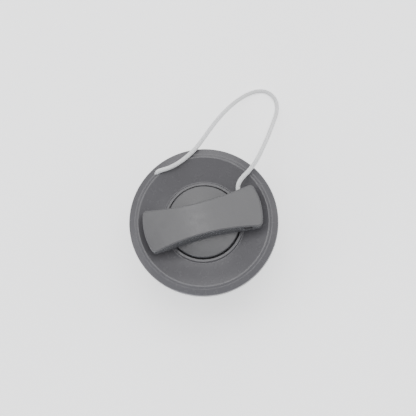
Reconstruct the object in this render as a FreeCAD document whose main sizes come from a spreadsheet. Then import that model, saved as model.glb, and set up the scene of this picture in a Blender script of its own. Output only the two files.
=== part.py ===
import FreeCAD, Part
import Sketcher
import math
import os

# Air valve of an inflatable paddle board: a dished deck plate with a threaded
# neck, the nut that clamps it from inside the board, the sprung valve stem in
# the neck, and the quarter-turn cap with its bow-tie bar and its tether.
#
# Frame: millimetres, +Z up along the valve's axis.  The fitting stands on the
# lower end of its back nut, and the origin is the centre of that end.  The
# cap's bar lies along X, and the tether's loop lies towards +X +Y.

V = FreeCAD.Vector
doc = FreeCAD.newDocument("board_valve")
sheet = doc.addObject("Spreadsheet::Sheet", "Dims")


# ---------------------------------------------------------------------------
# Driving dimensions
# ---------------------------------------------------------------------------

class Dim:
    """A size: its number, and the sheet expression that gives it."""

    def __init__(self, value, text):
        self.value = float(value)
        self.text = text

    def __add__(self, other):
        other = as_dim(other)
        return Dim(self.value + other.value, "(%s + %s)" % (self.text, other.text))

    def __radd__(self, other):
        return as_dim(other) + self

    def __sub__(self, other):
        other = as_dim(other)
        return Dim(self.value - other.value, "(%s - %s)" % (self.text, other.text))

    def __rsub__(self, other):
        return as_dim(other) - self

    def __mul__(self, other):
        other = as_dim(other)
        return Dim(self.value * other.value, "(%s * %s)" % (self.text, other.text))

    def __rmul__(self, other):
        return as_dim(other) * self

    def __truediv__(self, other):
        other = as_dim(other)
        return Dim(self.value / other.value, "(%s / %s)" % (self.text, other.text))

    def __neg__(self):
        return Dim(-self.value, "(0 - %s)" % self.text)


def as_dim(value):
    if isinstance(value, Dim):
        return value
    return Dim(value, "%.6f" % value if value >= 0 else "(0 - %.6f)" % -value)


ROWS = [
    # deck plate: the round flange that lies on the board
    ("plate_radius", 31.0, "outer radius of the deck plate"),
    ("plate_foot", 25.6, "height of the rim's lower edge"),
    ("seat_level", 26.0, "height of the plate's clamping face"),
    ("edge_level", 28.854, "top of the rim's upright edge"),
    ("edge_round", 0.8, "radius of the rounding between the edge and the flank"),
    ("flank_radius", 30.538, "outer end of the rim's sloping flank"),
    ("flank_level", 29.579, "height of the flank's outer end"),
    ("crest_radius", 27.2, "radius of the ridge's crest"),
    ("crest_level", 30.8, "height of the ridge's crest"),
    ("bead_radius", 28.45, "radius of the faint bead outside the crest"),
    ("bead_level", 30.48, "height of the bead"),
    ("dish_radius", 17.3, "radius where the dish is lowest"),
    ("dish_level", 27.5, "lowest level of the dish"),
    ("dish_curve", 60.0, "radius of the dish's concave curve"),
    ("channel_inner", 25.0, "inner radius of the channel under the ridge"),
    ("channel_outer", 30.0, "outer radius of that channel"),
    # collar: the raised lip round the mouth
    ("collar_outer", 16.95, "outer radius of the collar at its foot"),
    ("collar_lip", 16.75, "outer radius of the collar at its lip"),
    ("collar_level", 28.15, "top of the collar lip"),
    ("mouth_radius", 15.55, "bore of the mouth above its shoulder"),
    ("shoulder_level", 26.2, "height of the sealing shoulder in the mouth"),
    # neck
    ("neck_root", 17.55, "radius of the neck at the root of its thread"),
    ("neck_bore", 14.7, "bore of the neck"),
    ("neck_end", 10.0, "height of the neck's lower end"),
    ("port_radius", 10.6, "radius of the air port at the neck's end"),
    ("port_floor", 1.3, "thickness of the seat lip round the port"),
    ("catch_inner", 13.2, "inner radius of the bayonet catches"),
    ("catch_level", 24.6, "underside of the bayonet catches"),
    ("catch_span", 124.0, "angle that each catch covers"),
    ("rib_inner", 13.75, "inner radius of the wrench ribs"),
    ("rib_low", 13.4, "lower end of the wrench ribs"),
    ("rib_high", 21.0, "upper end of the wrench ribs"),
    ("rib_width", 2.2, "width of a wrench rib"),
    ("hub_radius", 5.7, "radius of the stem's guide hub"),
    ("hub_low", 11.3, "underside of the hub and its spokes"),
    ("hub_high", 13.3, "top of the hub and its spokes"),
    ("spoke_width", 2.0, "width of a spoke"),
    # tether hole in the rim
    ("tether_radius", 28.4, "radius at which the tether hole stands"),
    ("tether_angle", 118.88, "angle of the tether hole from the X axis"),
    ("tether_hole", 1.2, "radius of the tether hole"),
    # gasket, slip ring and back nut
    ("gasket_outer", 24.6, "outer radius of the flange gasket"),
    ("gasket_inner", 18.9, "inner radius of the flange gasket"),
    ("gasket_thick", 1.2, "thickness of the flange gasket"),
    ("slip_outer", 26.2, "outer radius of the slip ring"),
    ("slip_inner", 18.9, "inner radius of the slip ring"),
    ("slip_thick", 0.8, "thickness of the slip ring"),
    ("nut_top", 21.0, "top face of the back nut"),
    ("nut_flange", 27.2, "radius of the back nut's flange"),
    ("nut_flange_thick", 2.6, "thickness of the back nut's flange"),
    ("nut_bore", 18.45, "bore of the back nut at its thread's crests"),
    ("nut_barrel", 21.2, "outer radius of the back nut's barrel"),
    ("nut_rib_out", 25.0, "outer radius of the back nut's ribs"),
    ("nut_rib_width", 1.8, "width of a back nut rib"),
    ("nut_rib_low", 4.0, "lower end of the back nut's ribs"),
    ("nut_slot_width", 5.0, "width of the tool slots in the nut's end"),
    ("nut_slot_deep", 2.4, "depth of the tool slots"),
    # valve stem
    ("stem_radius", 1.9, "radius of the stem"),
    ("stem_low", 5.2, "lower end of the stem"),
    ("stem_high", 22.6, "upper end of the stem"),
    ("stem_fit", 0.06, "running clearance round the stem"),
    ("key_radius", 3.45, "reach of the stem's two keys"),
    ("key_low", 13.7, "underside of the keys"),
    ("key_thick", 1.2, "height of the keys"),
    ("key_width", 1.5, "width of a key"),
    ("key_gap", 0.35, "clearance of a key in its keyway"),
    ("collar_radius", 3.2, "radius of the stem's lower collar"),
    ("clip_level", 5.8, "underside of the clip on the stem"),
    ("clip_thick", 0.6, "thickness of the clip"),
    ("clip_groove", 1.35, "radius of the stem in the clip's groove"),
    ("clip_outer", 3.1, "outer radius of the clip"),
    # poppet
    ("poppet_radius", 12.2, "radius of the poppet disc"),
    ("poppet_low", 7.0, "underside of the poppet disc"),
    ("poppet_thick", 1.5, "thickness of the poppet disc"),
    ("boss_radius", 2.9, "radius of the poppet's boss"),
    ("seal_radius", 12.8, "radius of the poppet's seal"),
    # button
    ("button_radius", 5.6, "radius of the push button"),
    ("button_low", 19.3, "lower edge of the button's skirt"),
    ("button_deck", 21.4, "underside of the button over the spring"),
    ("button_top", 23.7, "top of the push button"),
    # spring
    ("spring_radius", 4.35, "mean radius of the spring"),
    ("wire_radius", 0.3, "radius of the spring's wire"),
    ("spring_turns", 3.5, "turns of the spring"),
    # cap: disc, plug and bayonet lugs
    ("disc_radius", 15.05, "radius of the cap's disc"),
    ("disc_low", 27.4, "underside of the disc"),
    ("disc_edge", 30.0, "top of the disc at its edge"),
    ("disc_crown", 30.6, "top of the disc at its centre"),
    ("land_low", 26.35, "lower edge of the plug's O-ring land"),
    ("land_plug", 14.3, "radius of the O-ring land"),
    ("plug_radius", 12.9, "radius of the plug"),
    ("plug_low", 22.0, "lower end of the plug"),
    ("plug_bore", 11.2, "bore of the hollow plug"),
    ("plug_roof", 27.4, "roof of the hollow plug"),
    ("lug_radius", 14.4, "reach of the bayonet lugs"),
    ("lug_low", 22.6, "underside of the bayonet lugs"),
    ("lug_high", 24.3, "top of the bayonet lugs"),
    ("lug_span", 44.0, "angle that each lug covers"),
    ("oring_radius", 14.86, "mean radius of the cap's O-ring"),
    ("oring_section", 0.55, "section radius of the cap's O-ring"),
    # cap: the bow-tie bar
    ("bar_waist", 6.6, "half width of the bar at its middle"),
    ("bar_curve", 108.0, "radius of the bar's hollow sides"),
    ("bar_reach", 24.6, "radius of the bar's ends"),
    ("bar_corner", 2.0, "radius of the bar's corners, seen from above"),
    ("bar_foot", 29.75, "lower edge of the bar outside the disc"),
    ("wing_start", 17.6, "radius at which the bar's underside starts to rise"),
    ("wing_slope", 0.53, "rise of the bar's underside towards its ends"),
    ("bar_sink", 28.2, "level to which the bar sinks into the disc"),
    ("bar_top", 38.2, "top of the bar at its middle"),
    ("bar_arch", 1.6, "drop of the bar's top at its ends"),
    ("bar_draft", 0.05, "slope of the bar's side walls"),
    ("bar_wall", 1.8, "wall of the hollow bar"),
    ("bar_roof", 36.0, "roof of the hollows at the bar's ends"),
    ("bar_roof_mid", 36.2, "roof of the hollow under the bar's middle"),
    ("end_hollow_in", 15.2, "inner end of the bar's end hollows"),
    ("window_mid", 17.2, "middle of the tether window along the bar"),
    ("window_wide", 3.6, "width of the tether window"),
    ("window_low", 33.5, "sill of the tether window"),
    ("window_high", 35.9, "head of the tether window"),
    # tether
    ("cord_diameter", 1.8, "diameter of the braided tether"),
    ("knot_radius", 1.7, "radius of the tether's stopper knots"),
    ("knot_length", 3.0, "length of the tether's stopper knots"),
]

D = {}
sheet.set("A1", "name")
sheet.set("B1", "value")
sheet.set("C1", "what it is")
for number, (alias, value, note) in enumerate(ROWS, start=2):
    sheet.set("A%d" % number, alias)
    sheet.set("B%d" % number, "%.6g" % value)
    sheet.set("C%d" % number, note)
    sheet.setAlias("B%d" % number, alias)
    D[alias] = Dim(value, "Dims." + alias)
doc.recompute()


def bind(obj, prop, dim):
    """Bind a property to the sheet."""
    obj.setExpression(prop, as_dim(dim).text)


# ---------------------------------------------------------------------------
# Sketches
# ---------------------------------------------------------------------------

def new_body(label):
    body = doc.addObject("PartDesign::Body", label)
    body.Label = label
    return body


def origin_plane(body, role):
    return [f for f in body.Origin.OriginFeatures if f.Role == role][0]


def new_sketch(body, name, role, level=None):
    sketch = body.newObject("Sketcher::SketchObject", name)
    sketch.AttachmentSupport = [(origin_plane(body, role), "")]
    sketch.MapMode = "FlatFace"
    if level is not None:
        sketch.AttachmentOffset = FreeCAD.Placement(V(0, 0, as_dim(level).value), FreeCAD.Rotation())
        bind(sketch, "AttachmentOffset.Base.z", level)
    return sketch


def place_point(sketch, geo, pos, x, y):
    """Hold one end of a sketch edge at (x, y), both bound to the sheet."""
    for kind, axis, dim in (("DistanceX", -2, as_dim(x)), ("DistanceY", -1, as_dim(y))):
        if abs(dim.value) < 1e-9:
            sketch.addConstraint(Sketcher.Constraint("PointOnObject", geo, pos, axis))
        else:
            index = sketch.addConstraint(Sketcher.Constraint(kind, -1, 1, geo, pos, dim.value))
            bind(sketch, "Constraints[%d]" % index, dim)


def loop(sketch, points):
    """A closed outline.  Each point is (x, y) or (x, y, radius, turn): the edge
    that leaves it is straight, or an arc of that radius, turn +1 when it runs
    counter-clockwise and -1 when it runs clockwise."""
    count = len(points)
    spots = [(as_dim(p[0]), as_dim(p[1])) for p in points]
    ends = []
    for i in range(count):
        a = V(spots[i][0].value, spots[i][1].value, 0)
        j = (i + 1) % count
        b = V(spots[j][0].value, spots[j][1].value, 0)
        if len(points[i]) == 2:
            geo = sketch.addGeometry(Part.LineSegment(a, b), False)
            ends.append((geo, 1, 2))
            continue
        radius, turn = as_dim(points[i][2]), points[i][3]
        chord = b - a
        half = chord.Length / 2.0
        rise = math.sqrt(max(radius.value ** 2 - half ** 2, 0.0))
        left = V(-chord.y, chord.x, 0)
        left.normalize()
        centre = (a + b) * 0.5 + left * (rise * turn)
        first, last = (a, b) if turn > 0 else (b, a)
        start = math.atan2(first.y - centre.y, first.x - centre.x)
        stop = math.atan2(last.y - centre.y, last.x - centre.x)
        if stop < start:
            stop += 2.0 * math.pi
        circle = Part.Circle(centre, V(0, 0, 1), radius.value)
        geo = sketch.addGeometry(Part.ArcOfCircle(circle, start, stop), False)
        ends.append((geo, 1, 2) if turn > 0 else (geo, 2, 1))
    for i in range(count):
        before = ends[i - 1]
        here = ends[i]
        sketch.addConstraint(Sketcher.Constraint("Coincident", before[0], before[2], here[0], here[1]))
        place_point(sketch, here[0], here[1], spots[i][0], spots[i][1])
    for i in range(count):
        if len(points[i]) > 2:
            radius = as_dim(points[i][2])
            index = sketch.addConstraint(Sketcher.Constraint("Radius", ends[i][0], radius.value))
            bind(sketch, "Constraints[%d]" % index, radius)


def circle_loop(sketch, x, y, radius):
    x, y, radius = as_dim(x), as_dim(y), as_dim(radius)
    geo = sketch.addGeometry(Part.Circle(V(x.value, y.value, 0), V(0, 0, 1), radius.value), False)
    if abs(x.value) < 1e-9 and abs(y.value) < 1e-9:
        sketch.addConstraint(Sketcher.Constraint("Coincident", geo, 3, -1, 1))
    else:
        place_point(sketch, geo, 3, x, y)
    index = sketch.addConstraint(Sketcher.Constraint("Radius", geo, radius.value))
    bind(sketch, "Constraints[%d]" % index, radius)


def box_loop(sketch, x0, y0, x1, y1):
    loop(sketch, [(x0, y0), (x1, y0), (x1, y1), (x0, y1)])


def bow_tie(sketch, waist, curve, reach, corner=None):
    """The bar's outline: two hollow sides, and two ends on one circle round
    the valve's axis, with rounded corners between them where a corner radius
    is given."""
    C = Sketcher.Constraint
    middle = waist.value + curve.value
    r = 0.0 if corner is None else as_dim(corner).value
    # the corner circle touches the end circle inside and the side circle outside
    y = (middle ** 2 + (reach.value - r) ** 2 - (curve.value + r) ** 2) / (2.0 * middle)
    x = math.sqrt((reach.value - r) ** 2 - y ** 2)
    side = math.atan2(middle - y, x)
    end = math.atan2(y, x)
    arcs = []
    # counter-clockwise from the right-hand end
    for cx, cy, radius, start, stop, flip in (
            (0.0, 0.0, reach.value, -end, end, False),
            (x, y, r, end, math.pi - side, False),
            (0.0, middle, curve.value, math.pi + side, 2.0 * math.pi - side, True),
            (-x, y, r, side, math.pi - end, False),
            (0.0, 0.0, reach.value, math.pi - end, math.pi + end, False),
            (-x, -y, r, math.pi + end, 2.0 * math.pi - side, False),
            (0.0, -middle, curve.value, side, math.pi - side, True),
            (x, -y, r, math.pi + side, 2.0 * math.pi - end, False)):
        if radius == 0.0:
            continue
        circle = Part.Circle(V(cx, cy, 0), V(0, 0, 1), radius)
        geo = sketch.addGeometry(Part.ArcOfCircle(circle, start, stop), False)
        # the first and the last end, in the order of travel
        arcs.append((geo, 2, 1) if flip else (geo, 1, 2))
    step = 2 if corner is None else 4
    right, left = arcs[0], arcs[step]
    top, low = arcs[step // 2], arcs[step + step // 2]
    for geo in (right[0], left[0]):
        sketch.addConstraint(C("Coincident", geo, 3, -1, 1))
    for geo, sign in ((top[0], 1), (low[0], -1)):
        sketch.addConstraint(C("PointOnObject", geo, 3, -2))
        index = sketch.addConstraint(C("DistanceY", -1, 1, geo, 3, sign * middle))
        bind(sketch, "Constraints[%d]" % index, (waist + curve) if sign > 0 else -(waist + curve))
    for i in range(len(arcs)):
        here, after = arcs[i], arcs[(i + 1) % len(arcs)]
        sketch.addConstraint(C("Coincident" if corner is None else "Tangent",
                               here[0], here[2], after[0], after[1]))
    for geo, dim in ((top[0], curve), (low[0], curve), (right[0], reach), (left[0], reach)):
        index = sketch.addConstraint(C("Radius", geo, dim.value))
        bind(sketch, "Constraints[%d]" % index, dim)
    if corner is not None:
        for arc in (arcs[1], arcs[3], arcs[5], arcs[7]):
            index = sketch.addConstraint(C("Radius", arc[0], r))
            bind(sketch, "Constraints[%d]" % index, as_dim(corner))


# ---------------------------------------------------------------------------
# Features
# ---------------------------------------------------------------------------

def revolve(body, sketch, name, angle=None, midplane=False):
    feature = body.newObject("PartDesign::Revolution", name)
    feature.Profile = sketch
    feature.ReferenceAxis = (sketch, ["V_Axis"])
    feature.Angle = 360.0 if angle is None else as_dim(angle).value
    feature.Midplane = midplane
    if angle is not None:
        bind(feature, "Angle", angle)
    doc.recompute()
    return feature


def groove(body, sketch, name):
    feature = body.newObject("PartDesign::Groove", name)
    feature.Profile = sketch
    feature.ReferenceAxis = (sketch, ["V_Axis"])
    feature.Angle = 360.0
    doc.recompute()
    return feature


def pad(body, sketch, name, length):
    feature = body.newObject("PartDesign::Pad", name)
    feature.Profile = sketch
    feature.Length = as_dim(length).value
    bind(feature, "Length", length)
    doc.recompute()
    return feature


def pocket(body, sketch, name, length, reverse=False, midplane=False):
    """Cuts from the sketch; the volume must fall."""
    before = body.Shape.Volume
    feature = body.newObject("PartDesign::Pocket", name)
    feature.Profile = sketch
    feature.Length = as_dim(length).value
    feature.Midplane = midplane
    feature.Reversed = reverse
    bind(feature, "Length", length)
    doc.recompute()
    if not body.Shape.Volume < before - 1e-6:
        bad = [o.Name for o in body.Group if "Invalid" in o.State or "Error" in o.State]
        raise RuntimeError("%s cuts nothing; failed features: %s" % (name, bad))
    return feature


def ring_of(body, features, count, name):
    """Repeat features round the Z axis."""
    before = body.Shape.Volume
    feature = body.newObject("PartDesign::PolarPattern", name)
    feature.Originals = features
    z_axis = [f for f in body.Origin.OriginFeatures if f.Role == "Z_Axis"][0]
    feature.Axis = (z_axis, [""])
    feature.Angle = 360.0
    feature.Occurrences = count
    body.Tip = feature
    doc.recompute()
    if abs(body.Shape.Volume - before) < 1e-6:
        raise RuntimeError("%s repeats nothing" % name)
    return feature


def edges_where(shape, test):
    return ["Edge%d" % (i + 1) for i, edge in enumerate(shape.Edges) if test(edge)]


def round_edges(body, name, radius, test):
    names = edges_where(body.Shape, test)
    if not names:
        raise RuntimeError("%s finds no edge" % name)
    base = body.Tip
    feature = body.newObject("PartDesign::Fillet", name)
    feature.Base = (base, names)
    feature.Radius = radius
    doc.recompute()
    return feature


def circle_at(radius, level, slack=0.02):
    """True for a circular edge round the axis, of this radius, at this height."""
    radius, level = as_dim(radius).value, as_dim(level).value

    def test(edge):
        curve = edge.Curve
        return (isinstance(curve, Part.Circle) and abs(curve.Radius - radius) < slack
                and abs(curve.Center.z - level) < slack
                and abs(curve.Center.x) < slack and abs(curve.Center.y) < slack)
    return test


PIECES = []


def keep(obj):
    PIECES.append(obj)
    return obj


# ---------------------------------------------------------------------------
# Deck plate and neck: one moulding
# ---------------------------------------------------------------------------

plate = new_body("valve_body")
outline = new_sketch(plate, "plate_section", "XZ_Plane")
d = D
loop(outline, [
    (d["port_radius"], d["neck_end"]),
    (d["neck_root"] - 0.5, d["neck_end"]),
    (d["neck_root"], d["neck_end"] + 0.5),
    (d["neck_root"], d["seat_level"]),
    (d["channel_inner"], d["seat_level"]),
    (d["channel_inner"] + 0.3, d["seat_level"] + 1.9),
    (d["tether_radius"], d["seat_level"] + 2.6),
    (d["channel_outer"], d["seat_level"] + 1.2),
    (d["channel_outer"], d["plate_foot"] + 0.3),
    (d["channel_outer"] + 0.3, d["plate_foot"]),
    (d["plate_radius"] - 0.3, d["plate_foot"]),
    (d["plate_radius"], d["plate_foot"] + 0.3),
    (d["plate_radius"], d["edge_level"], d["edge_round"], 1),
    (d["flank_radius"], d["flank_level"]),
    (d["bead_radius"] + 0.22, d["bead_level"] - 0.03),
    (d["bead_radius"] - 0.22, d["bead_level"]),
    (d["crest_radius"] + 0.25, d["crest_level"]),
    (d["crest_radius"] - 0.25, d["crest_level"] - 0.03, d["dish_curve"], -1),
    (d["dish_radius"], d["dish_level"]),
    (d["collar_outer"], d["dish_level"]),
    (d["collar_lip"], d["collar_level"] - 0.2, 0.22, 1),
    (d["collar_lip"] - 0.2, d["collar_level"]),
    (d["mouth_radius"] + 0.2, d["collar_level"], 0.2, 1),
    (d["mouth_radius"], d["collar_level"] - 0.2),
    (d["mouth_radius"], d["shoulder_level"]),
    (d["neck_bore"], d["shoulder_level"]),
    (d["neck_bore"], d["neck_end"] + d["port_floor"]),
    (d["port_radius"], d["neck_end"] + d["port_floor"]),
])
revolve(plate, outline, "plate_turned")

# two bayonet catches under the shoulder, with gaps between them on the Y axis
catch = new_sketch(plate, "catch_section", "XZ_Plane")
loop(catch, [
    (d["catch_inner"], d["catch_level"]),
    (d["neck_bore"] + 0.5, d["catch_level"]),
    (d["neck_bore"] + 0.5, d["shoulder_level"]),
    (d["catch_inner"] + 0.3, d["shoulder_level"]),
    (d["catch_inner"], d["shoulder_level"] - 0.3),
])
catch_turn = revolve(plate, catch, "catch", d["catch_span"], midplane=True)
ring_of(plate, [catch_turn], 2, "catches")

# a stop below each catch, for the lugs to turn against
stop = new_sketch(plate, "stop_outline", "XY_Plane", d["rib_high"] + 1.0)
stop_low, stop_high = 12.0, 19.5
pts = []
for radius, angle in ((13.3, stop_low), (15.0, stop_low), (15.0, stop_high), (13.3, stop_high)):
    pts.append((radius * math.cos(math.radians(angle)), radius * math.sin(math.radians(angle))))
loop(stop, pts)
stop_pad = pad(plate, stop, "stop", d["catch_level"] - d["rib_high"] - 0.9)
ring_of(plate, [stop_pad], 2, "stops")

# six wrench ribs in the neck
rib = new_sketch(plate, "rib_outline", "XY_Plane", d["rib_low"])
box_loop(rib, d["rib_inner"], -(d["rib_width"] / 2), d["neck_bore"] + 0.5, d["rib_width"] / 2)
rib_pad = pad(plate, rib, "rib", d["rib_high"] - d["rib_low"])
ring_of(plate, [rib_pad], 6, "ribs")

# guide hub on three spokes across the neck
hub = new_sketch(plate, "hub_outline", "XY_Plane", d["hub_low"])
circle_loop(hub, 0, 0, d["hub_radius"])
hub_pad = pad(plate, hub, "hub", d["hub_high"] - d["hub_low"])
spoke = new_sketch(plate, "spoke_outline", "XY_Plane", d["hub_low"])
box_loop(spoke, d["hub_radius"] - 1.0, -(d["spoke_width"] / 2), d["neck_bore"] + 0.5, d["spoke_width"] / 2)
spoke_pad = pad(plate, spoke, "spoke", d["hub_high"] - d["hub_low"])
ring_of(plate, [spoke_pad], 3, "spokes")

# bore of the hub with its two keyways along X
hub_bore = new_sketch(plate, "hub_bore", "XY_Plane", d["hub_high"])
circle_loop(hub_bore, 0, 0, d["stem_radius"] + d["stem_fit"])
pocket(plate, hub_bore, "hub_bored", d["hub_high"] - d["hub_low"])
keyway = new_sketch(plate, "keyway", "XY_Plane", d["hub_high"])
reach = d["key_radius"] + d["key_gap"]
half_key = d["key_width"] / 2 + d["key_gap"]
box_loop(keyway, -reach, -half_key, reach, half_key)
pocket(plate, keyway, "keyways", d["hub_high"] - d["hub_low"])

# tether hole through the rim, into the channel under the ridge
tether = new_sketch(plate, "tether_hole", "XY_Plane", d["crest_level"] + 2.0)
angle = math.radians(d["tether_angle"].value)
tether_x = d["tether_radius"] * math.cos(angle)
tether_y = d["tether_radius"] * math.sin(angle)
circle_loop(tether, tether_x, tether_y, d["tether_hole"])
pocket(plate, tether, "tether_bored", 6.0)

round_edges(plate, "dish_root", 0.3, circle_at(d["collar_outer"], d["dish_level"]))
keep(plate)

# ---------------------------------------------------------------------------
# Flange gasket, slip ring
# ---------------------------------------------------------------------------

gasket = new_body("flange_gasket")
section = new_sketch(gasket, "gasket_section", "XZ_Plane")
low = d["seat_level"] - d["gasket_thick"]
loop(section, [
    (d["gasket_inner"], low + 0.2),
    (d["gasket_inner"] + 0.2, low),
    (d["gasket_outer"] - 0.2, low),
    (d["gasket_outer"], low + 0.2),
    (d["gasket_outer"], d["seat_level"]),
    (d["gasket_inner"], d["seat_level"]),
])
revolve(gasket, section, "gasket_turned")
keep(gasket)

slip = new_body("slip_ring")
section = new_sketch(slip, "slip_section", "XZ_Plane")
top = d["nut_top"] + d["slip_thick"]
loop(section, [
    (d["slip_inner"], d["nut_top"]),
    (d["slip_outer"], d["nut_top"]),
    (d["slip_outer"], top - 0.15),
    (d["slip_outer"] - 0.15, top),
    (d["slip_inner"] + 0.15, top),
    (d["slip_inner"], top - 0.15),
])
revolve(slip, section, "slip_turned")
keep(slip)

# ---------------------------------------------------------------------------
# Back nut: barrel with a clamping flange, twelve ribs and six tool slots
# ---------------------------------------------------------------------------

nut = new_body("back_nut")
section = new_sketch(nut, "nut_section", "XZ_Plane")
under = d["nut_top"] - d["nut_flange_thick"]
loop(section, [
    (d["nut_bore"] + 0.4, 0),
    (d["nut_barrel"] - 0.4, 0),
    (d["nut_barrel"], 0.4),
    (d["nut_barrel"], under - 0.8, 0.8, -1),
    (d["nut_barrel"] + 0.8, under),
    (d["nut_flange"] - 0.5, under, 0.5, 1),
    (d["nut_flange"], under + 0.5),
    (d["nut_flange"], d["nut_top"] - 0.8, 0.8, 1),
    (d["nut_flange"] - 0.8, d["nut_top"]),
    (d["nut_bore"] + 0.4, d["nut_top"]),
    (d["nut_bore"], d["nut_top"] - 0.4),
    (d["nut_bore"], 0.4),
])
revolve(nut, section, "nut_turned")

# a rib is a thin web between barrel and flange, lower at its outer edge
web = new_sketch(nut, "web_outline", "XZ_Plane", -(d["nut_rib_width"] / 2))
loop(web, [
    (d["nut_barrel"] - 0.6, d["nut_rib_low"]),
    (d["nut_barrel"] + 0.6, d["nut_rib_low"]),
    (d["nut_rib_out"], under - 3.0),
    (d["nut_rib_out"], under + 0.4),
    (d["nut_barrel"] - 0.6, under + 0.4),
])
web_pad = pad(nut, web, "web", d["nut_rib_width"])
ring_of(nut, [web_pad], 12, "webs")

slot = new_sketch(nut, "slot_outline", "YZ_Plane")
box_loop(slot, -(d["nut_slot_width"] / 2), 0, d["nut_slot_width"] / 2, d["nut_slot_deep"])
slot_cut = pocket(nut, slot, "slot", 30.0, reverse=True)
ring_of(nut, [slot_cut], 6, "slots")
keep(nut)

# ---------------------------------------------------------------------------
# Valve stem, with its two keys, its collar and its clip groove
# ---------------------------------------------------------------------------

stem = new_body("stem")
section = new_sketch(stem, "stem_section", "XZ_Plane")
groove_low = d["clip_level"] - 0.05
groove_high = d["clip_level"] + d["clip_thick"] + 0.05
boss_top = d["poppet_low"] + d["poppet_thick"] * 2
loop(section, [
    (0, d["stem_low"]),
    (d["stem_radius"] - 0.25, d["stem_low"]),
    (d["stem_radius"], d["stem_low"] + 0.25),
    (d["stem_radius"], groove_low),
    (d["clip_groove"], groove_low),
    (d["clip_groove"], groove_high),
    (d["stem_radius"], groove_high),
    (d["stem_radius"], boss_top),
    (d["collar_radius"], boss_top),
    (d["collar_radius"], boss_top + 0.9),
    (d["stem_radius"], boss_top + 0.9),
    (d["stem_radius"], d["button_deck"]),
    (d["stem_radius"] - 0.5, d["button_deck"]),
    (d["stem_radius"] - 0.5, d["stem_high"] - 0.3),
    (d["stem_radius"] - 0.8, d["stem_high"]),
    (0, d["stem_high"]),
])
revolve(stem, section, "stem_turned")
key = new_sketch(stem, "key_outline", "XY_Plane", d["key_low"])
box_loop(key, -d["key_radius"], -(d["key_width"] / 2), d["key_radius"], d["key_width"] / 2)
pad(stem, key, "keys", d["key_thick"])
keep(stem)

# ---------------------------------------------------------------------------
# Push button: domed top, skirt round the spring, blind socket for the stem
# ---------------------------------------------------------------------------

button = new_body("push_button")
section = new_sketch(button, "button_section", "XZ_Plane")
loop(section, [
    (0, d["stem_high"] + 0.05),
    (d["stem_radius"] - 0.5, d["stem_high"] + 0.05),
    (d["stem_radius"] - 0.5, d["button_deck"]),
    (d["button_radius"] - 0.7, d["button_deck"]),
    (d["button_radius"] - 0.7, d["button_low"]),
    (d["button_radius"], d["button_low"]),
    (d["button_radius"], d["button_top"] - 0.8, 0.8, 1),
    (d["button_radius"] - 0.8, d["button_top"]),
    (d["button_radius"] - 2.0, d["button_top"]),
    (d["button_radius"] - 2.5, d["button_top"] - 0.3),
    (0, d["button_top"] - 0.45),
])
revolve(button, section, "button_turned")
keep(button)

# ---------------------------------------------------------------------------
# Spring between the hub and the button
# ---------------------------------------------------------------------------

spring_low = D["hub_high"] + D["wire_radius"] + 0.02
spring_high = D["button_deck"] - D["wire_radius"] - 0.02
helix = doc.addObject("Part::Helix", "spring_line")
helix.SegmentLength = 1
bind(helix, "Pitch", (spring_high - spring_low) / D["spring_turns"])
bind(helix, "Height", spring_high - spring_low)
bind(helix, "Radius", D["spring_radius"])
doc.recompute()
wire = doc.addObject("Part::Circle", "spring_wire")
bind(wire, "Radius", D["wire_radius"])
wire.Placement = FreeCAD.Placement(V(D["spring_radius"].value, 0, 0), FreeCAD.Rotation(V(1, 0, 0), 90))
bind(wire, "Placement.Base.x", D["spring_radius"])
doc.recompute()
coil = doc.addObject("Part::Sweep", "stem_spring")
coil.Label = "stem_spring"
coil.Sections = [wire]
coil.Spine = (helix, [])
coil.Solid = True
coil.Frenet = True
coil.Placement = FreeCAD.Placement(V(0, 0, spring_low.value), FreeCAD.Rotation())
bind(coil, "Placement.Base.z", spring_low)
doc.recompute()
keep(coil)

# ---------------------------------------------------------------------------
# Poppet: a stiff disc with a boss, and the soft seal on it
# ---------------------------------------------------------------------------

poppet = new_body("poppet_disc")
section = new_sketch(poppet, "poppet_section", "XZ_Plane")
disc_top = d["poppet_low"] + d["poppet_thick"]
bore = d["stem_radius"] + d["stem_fit"]
loop(section, [
    (bore, d["poppet_low"]),
    (d["boss_radius"] + 1.2, d["poppet_low"]),
    (d["boss_radius"] + 1.6, d["poppet_low"] + 0.4),
    (d["poppet_radius"] - 2.2, d["poppet_low"] + 0.4),
    (d["poppet_radius"] - 1.8, d["poppet_low"]),
    (d["poppet_radius"] - 0.3, d["poppet_low"]),
    (d["poppet_radius"], d["poppet_low"] + 0.3),
    (d["poppet_radius"], disc_top),
    (d["boss_radius"], disc_top),
    (d["boss_radius"], disc_top + d["poppet_thick"]),
    (bore, disc_top + d["poppet_thick"]),
])
revolve(poppet, section, "poppet_turned")
# six stiffening webs on the underside
web = new_sketch(poppet, "poppet_web", "XY_Plane", d["poppet_low"])
box_loop(web, d["boss_radius"] + 1.0, -0.5, d["poppet_radius"] - 1.6, 0.5)
web_pad = pad(poppet, web, "poppet_web_pad", 0.6)
ring_of(poppet, [web_pad], 6, "poppet_webs")
keep(poppet)

seal = new_body("poppet_seal")
section = new_sketch(seal, "seal_section", "XZ_Plane")
loop(section, [
    (d["boss_radius"], disc_top),
    (d["seal_radius"] - 0.2, disc_top),
    (d["seal_radius"], disc_top + 0.2),
    (d["seal_radius"], disc_top + d["poppet_thick"] - 0.3),
    (d["seal_radius"] - 0.3, disc_top + d["poppet_thick"]),
    (d["boss_radius"], disc_top + d["poppet_thick"]),
])
revolve(seal, section, "seal_turned")
keep(seal)

# ---------------------------------------------------------------------------
# Washer and clip that hold the poppet on the stem
# ---------------------------------------------------------------------------

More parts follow.
